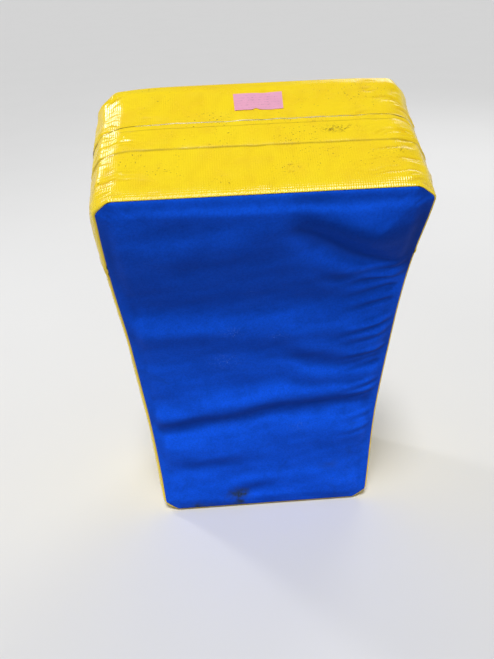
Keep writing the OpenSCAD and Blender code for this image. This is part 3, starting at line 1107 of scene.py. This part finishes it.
def strap_space(height, points):
    """A strap's own space (x, outwards from mid thickness, up) to the row's frame."""
    c, s = math.cos(height / RADIUS), math.sin(height / RADIUS)
    x, out, z = points[..., 0], RADIUS + points[..., 1], points[..., 2]
    return np.stack([x, out * c - z * s - RADIUS, out * s + z * c], -1)


def smooth_line(points, pitch, rounds):
    """A line with its corners cut round after round, as even steps of about the pitch."""
    line = np.array(points, float)
    for _ in range(rounds):
        a, b = line[:-1] * 0.75 + line[1:] * 0.25, line[:-1] * 0.25 + line[1:] * 0.75
        line = np.concatenate([line[:1], np.stack([a, b], 1).reshape(-1, line.shape[1]), line[-1:]])
    run = run_along(line)
    at = np.linspace(0, run[-1], max(2, int(run[-1] / pitch)))
    return np.stack([np.interp(at, run, line[:, k]) for k in range(line.shape[1])], -1)


def row_ring(z):
    """Where round a sleeve's section a row of stitches at height z runs."""
    return math.acos(math.copysign((abs(z) / SLEEVE_HALF) ** (1 / 0.75), z))


def sleeve_section(turn, ring, seed):
    """Where a sleeve's skin lies at one place along it: how far up, and how far out from its middle."""
    full = 0.74 + 0.26 * smooth_step((SLEEVE_TURN - abs(turn)) * MID_R, 0.0, 0.012)
    c, s = np.cos(ring), np.sin(ring)
    z = SLEEVE_HALF * np.sign(c) * np.abs(c) ** 0.75
    rows = (bell(z - ROW, 0.0018) + bell(z + ROW, 0.0018)) * smooth_step(full, 0.75, 0.95)
    cross = np.stack([z, np.full_like(z, turn * MID_R)], -1)
    out = SLEEVE_FULL * np.sign(s) * np.abs(s) ** 0.55 * full * (1 - 0.20 * rows)
    return z, out + 0.0004 * np.sign(s) * hills(cross, 0.012, seed)


def sleeve_ring():
    """Places round a sleeve's section, closer together beside its sewn rows."""
    beside = np.array([-0.070, -0.045, -0.025, -0.012, 0.0, 0.012, 0.025, 0.045, 0.070])
    sewn = [row_ring(ROW), row_ring(-ROW), -row_ring(ROW), -row_ring(-ROW)]
    ring = np.concatenate([np.linspace(0, 2 * math.pi, 60, endpoint=False)] + [k + beside for k in sewn])
    return np.unique(np.round(ring % (2 * math.pi), 4))


def sleeve_mesh(name, height, seed):
    """A padded sleeve: crowned between its edge seams, with two sewn rows along it."""
    turns, ring = np.linspace(-SLEEVE_TURN, SLEEVE_TURN, 90), sleeve_ring()
    points, uvs = [], []
    for a in turns:
        z, out = sleeve_section(a, ring, seed)
        r = MID_R + out
        points.append(np.stack([r * math.sin(a), LOOP_Y + r * math.cos(a), z], -1))
        uvs.append(np.stack([np.full_like(z, a * MID_R), ring * 0.018], -1))
    n, m = len(turns), len(ring)
    faces = tube_faces(np.arange(n * m).reshape(n, m))
    mouth = []
    for i, flip in ((0, False), (n - 1, True)):
        start = n * m + len(mouth)
        centre = points[i].mean(0)
        inner = centre + (points[i] - centre) * 0.93
        inner[:, 0] = np.hypot(inner[:, 0], inner[:, 1] - LOOP_Y) * math.sin(turns[i] * 0.985)
        mouth += list(inner)
        faces += tube_faces([i * m + np.arange(m), start + np.arange(m)][::1 if flip else -1])
        faces.append(tuple(start + j for j in (range(m) if flip else reversed(range(m)))))
    points = np.concatenate(points + [np.array(mouth)])
    uv = np.concatenate([np.concatenate(uvs), np.zeros((len(mouth), 2))])
    even = np.ones(len(points))
    # The sleeves take a fixed mix of the blue's painted light and shade, and none of its painted shade in
    # hollows
    return new_object(name, strap_space(height, points), faces, uv=uv, crease=0 * even, fade=0.6 * even)


def band_path():
    """The webbing's way: out of one sewn tab, round under the sleeve, and into the other."""
    foot = BACK + CLOTH + 0.0013
    ends = [(-0.160, foot), (-0.120, foot), (-0.1065, foot)]
    turns = np.linspace(-BAND_TURN, BAND_TURN, 60)
    arc = [(BAND_R * math.sin(k), LOOP_Y + BAND_R * math.cos(k)) for k in turns]
    return smooth_line(ends + arc + [(-x, y) for x, y in reversed(ends)], 0.0022, 2)


def band_mesh(name, height, half=0.025, thick=0.0022):
    """Webbing: a flat woven band with rounded edges."""
    line = band_path()
    way = np.gradient(line, axis=0)
    way /= np.linalg.norm(way, axis=1, keepdims=True)
    out = np.stack([-way[:, 1], way[:, 0]], -1)
    run = run_along(line)
    zs = np.concatenate([np.linspace(-half, half, 15), np.linspace(half, -half, 15)])
    lift = np.concatenate([np.full(15, 0.5), np.full(15, -0.5)]) * thick
    lift[[0, 14, 15, 29]] *= 0.45
    m = len(zs)
    points = np.zeros((len(line), m, 3))
    for j in range(m):
        points[:, j, :2] = line + out * lift[j]
        points[:, j, 2] = zs[j] * (1 + 0.004 * np.sin(run * 120))
    sag = points[..., 2] ** 2 / 2 / RADIUS * smooth_step(np.abs(points[..., 0]), 0.100, 0.112)
    points[..., 1] -= sag
    uv = np.stack([zs[None] + 0 * run[:, None], run[:, None] + 0 * zs[None]], -1)
    faces = tube_faces(np.arange(len(line) * m).reshape(len(line), m), flip=True)
    faces.append(tuple(range(m)))
    faces.append(tuple((len(line) - 1) * m + j for j in reversed(range(m))))
    return new_object(name, strap_space(height, points), faces, uv=uv)


def patch_mesh(name, height, side):
    """A square of tough cloth under one end of a strap, with its corners a little rounded."""
    u, v = np.linspace(-1, 1, 31), np.linspace(-1, 1, 29)
    uu, vv = np.meshgrid(u, v, indexing="ij")
    round_off = 1 - 0.045 * (np.abs(uu) ** 8) * (np.abs(vv) ** 8)
    x = side * 0.130 + 0.038 * uu * round_off
    s = height + 0.034 * vv * round_off
    edge = np.minimum(1 - np.abs(uu), 1 - np.abs(vv)) * 0.036
    d = BACK + 0.0009 - 0.0006 * np.exp(-edge / 0.001)
    obj = new_object(name, place(x, s, d), grid_faces(31, 29, flip=True), uv=np.stack([x, s], -1))
    return thicken(obj, 0.0009)


# A stitch's length, the gap after it, and its thickness; and its shape, as (place along it, thickness there)
STITCH, STITCH_GAP, STITCH_THICK = 0.0030, 0.0014, 0.00045
STITCH_SHAPE = ((0.0, 0.35), (0.18, 0.9), (0.5, 1.0), (0.82, 0.9), (1.0, 0.35))


def along_line(at, run, values):
    return np.array([np.interp(at, run, values[:, c]) for c in range(3)])


def stitch_mesh(name, runs, material):
    """Rows of stitches: each a small domed bar. A run is (points, outward normals)."""
    points, faces = [], []
    for line, normals in runs:
        run = run_along(line)
        count = max(1, int(run[-1] / (STITCH + STITCH_GAP)))
        for k in range(count):
            centre = (k + 0.5) * run[-1] / count
            a, b = (along_line(centre + way * STITCH / 2, run, line) for way in (-1, 1))
            n = unit(along_line(centre, run, normals))
            side = np.cross(n, unit(b - a))
            faces += tube_faces(len(points) + np.arange(30).reshape(5, 6))
            faces.append(tuple(len(points) + q for q in reversed(range(6))))
            faces.append(tuple(len(points) + 24 + q for q in range(6)))
            for at, size in STITCH_SHAPE:
                for angle in np.arange(6) * math.pi / 3:
                    off = math.cos(angle) * side + (math.sin(angle) * 0.8 + 0.2) * n
                    points.append(a + (b - a) * at + STITCH_THICK * size * off)
    return dress(new_object(name, np.array(points), faces), material)


def box_stitches(height, side):
    """The sewn box and cross that holds a webbing tab."""
    x0, x1, h = 0.120, 0.156, 0.0205
    corners = [(x0, -h), (x1, -h), (x1, h), (x0, h)]
    lines = list(zip(corners, corners[1:] + corners[:1]))
    lines += [(corners[0], corners[2]), (corners[1], corners[3])]
    runs = []
    for (xa, za), (xb, zb) in lines:
        t = np.linspace(0, 1, 12)
        x, z = side * (xa + (xb - xa) * t), za + (zb - za) * t
        y = BACK + CLOTH + 0.0025 - z ** 2 / 2 / RADIUS
        line = strap_space(height, np.stack([x, y, z], -1))
        normal = strap_space(height, np.stack([x, y + 1, z], -1)) - line
        runs.append((line, normal))
    return runs


def row_stitches(height, seed):
    """The two rows of stitches along a sleeve's outer side."""
    turns = np.linspace(-0.97 * SLEEVE_TURN, 0.97 * SLEEVE_TURN, 60)
    runs = []
    for place_up in (-ROW, ROW):
        ring = np.array([row_ring(place_up)])
        r = np.array([MID_R + 0.0001 + sleeve_section(a, ring, seed)[1][0] for a in turns])
        c, s = np.cos(turns), np.sin(turns)
        line = strap_space(height, np.stack([r * s, LOOP_Y + r * c, place_up + 0 * r], -1))
        above = strap_space(height, np.stack([(r + 1) * s, LOOP_Y + (r + 1) * c, place_up + 0 * r], -1))
        runs.append((line, above - line))
    return runs


for level, height in (("upper", 0.505), ("lower", 0.245)):
    band = dress(band_mesh(f"{level}_band", height), BLACK_WEBBING)
    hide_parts(f"{level}_webbing")
    seed = 51 if level == "upper" else 52
    cover = dress(sleeve_mesh(f"{level}_grip", height, seed), BLUE)
    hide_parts(f"{level}_sleeve", f"{level}_strap_foam")
    runs = []
    for side, name in ((-1, "left"), (1, "right")):
        square = dress(patch_mesh(f"{level}_base_{name}", height, side), BLACK_PATCH)
        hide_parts(f"{level}_patch_{name}")
        runs += box_stitches(height, side)
    stitch_mesh(f"{level}_box_stitches", runs, WHITE_THREAD)
    stitch_mesh(f"{level}_row_stitches", row_stitches(height, seed), WHITE_THREAD)

for name, hooked in (("hook_strip", True), ("loop_strip", False)):
    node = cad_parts[name]
    node.data.materials.clear()
    node.data.materials.append(grip_material(name, (0.016, 0.016, 0.018), hooked))


# ---------------------------------------------------------------- floor, light and camera
def make_floor():
    bpy.ops.mesh.primitive_plane_add(size=80, location=(0, 0, -0.0005))
    floor = bpy.context.object
    floor.name = "floor"
    g = Graph("pale_floor", (0.74, 0.74, 0.74), 0.9, Specular_IOR_Level=0.1)
    g.finish(g.mix(g.noise(3, 2), (0.75, 0.75, 0.75), (0.73, 0.73, 0.73)))
    floor.data.materials.append(g.material)


def area_light(name, place_at, target, size, power):
    data = bpy.data.lights.new(name, "AREA")
    data.shape, data.size, data.energy = "DISK", size, power
    lamp = bpy.data.objects.new(name, data)
    bpy.context.scene.collection.objects.link(lamp)
    lamp.location = place_at
    lamp.rotation_mode = "QUATERNION"
    lamp.rotation_quaternion = (Vector(target) - Vector(place_at)).to_track_quat("-Z", "Y")


def sun_light(name, elevation, azimuth, strength, spread):
    """Soft light from in front and above; azimuth 0 shines along +Y."""
    data = bpy.data.lights.new(name, "SUN")
    data.energy, data.angle = strength, math.radians(spread)
    lamp = bpy.data.objects.new(name, data)
    bpy.context.scene.collection.objects.link(lamp)
    up, turn = math.radians(elevation), math.radians(azimuth)
    way = Vector((math.sin(turn) * math.cos(up), math.cos(turn) * math.cos(up), -math.sin(up)))
    lamp.rotation_mode = "QUATERNION"
    lamp.rotation_quaternion = way.to_track_quat("-Z", "Y")


def make_world():
    """Dim overhead and bright near the horizon, as in a white room with its ceiling lights off."""
    world = bpy.data.worlds.new("studio")
    world.use_nodes = True
    nodes, links = world.node_tree.nodes, world.node_tree.links
    kinds = ("TexCoord", "SeparateXYZ", "ValToRGB")
    around_us, split, ramp = (nodes.new(f"ShaderNode{kind}") for kind in kinds)
    links.new(around_us.outputs["Generated"], split.inputs[0])
    links.new(split.outputs[2], ramp.inputs[0])
    links.new(ramp.outputs[0], nodes["Background"].inputs[0])
    elements = ramp.color_ramp.elements
    elements[0].position, elements[0].color = 0.14, (0.62, 0.62, 0.62, 1)
    elements[1].position, elements[1].color = 0.40, (0.12, 0.12, 0.12, 1)
    nodes["Background"].inputs[1].default_value = 1.0
    bpy.context.scene.world = world


def make_camera():
    """The photograph's viewpoint: in front of the pad, above it and looking down."""
    pitch, yaw, roll = 0.50431, 0.03422, -0.04169
    ahead = Vector((math.sin(yaw) * math.cos(pitch), math.cos(yaw) * math.cos(pitch), -math.sin(pitch)))
    right = Vector((math.cos(yaw), -math.sin(yaw), 0))
    down = ahead.cross(right)
    across = math.cos(roll) * right - math.sin(roll) * down
    below = math.sin(roll) * right + math.cos(roll) * down
    data = bpy.data.cameras.new("camera")
    data.sensor_width = 36
    data.lens = 38.24
    camera = bpy.data.objects.new("camera", data)
    bpy.context.scene.collection.objects.link(camera)
    turn = Matrix((across, -below, -ahead)).transposed()
    camera.matrix_world = Matrix.Translation((-0.0565, -1.1259, 0.9475)) @ turn.to_4x4()
    bpy.context.scene.camera = camera


make_floor()
make_world()
sun_light("key", 66, 8, 2.55, 15)
area_light("corner", (-1.5, 0.9, 1.9), (-0.2, -0.2, 0.7), 0.30, 9)
area_light("rear", (1.4, 2.4, 2.2), (0, 0, 0.4), 1.6, 16)
make_camera()
bpy.context.scene.view_settings.view_transform = "Standard"
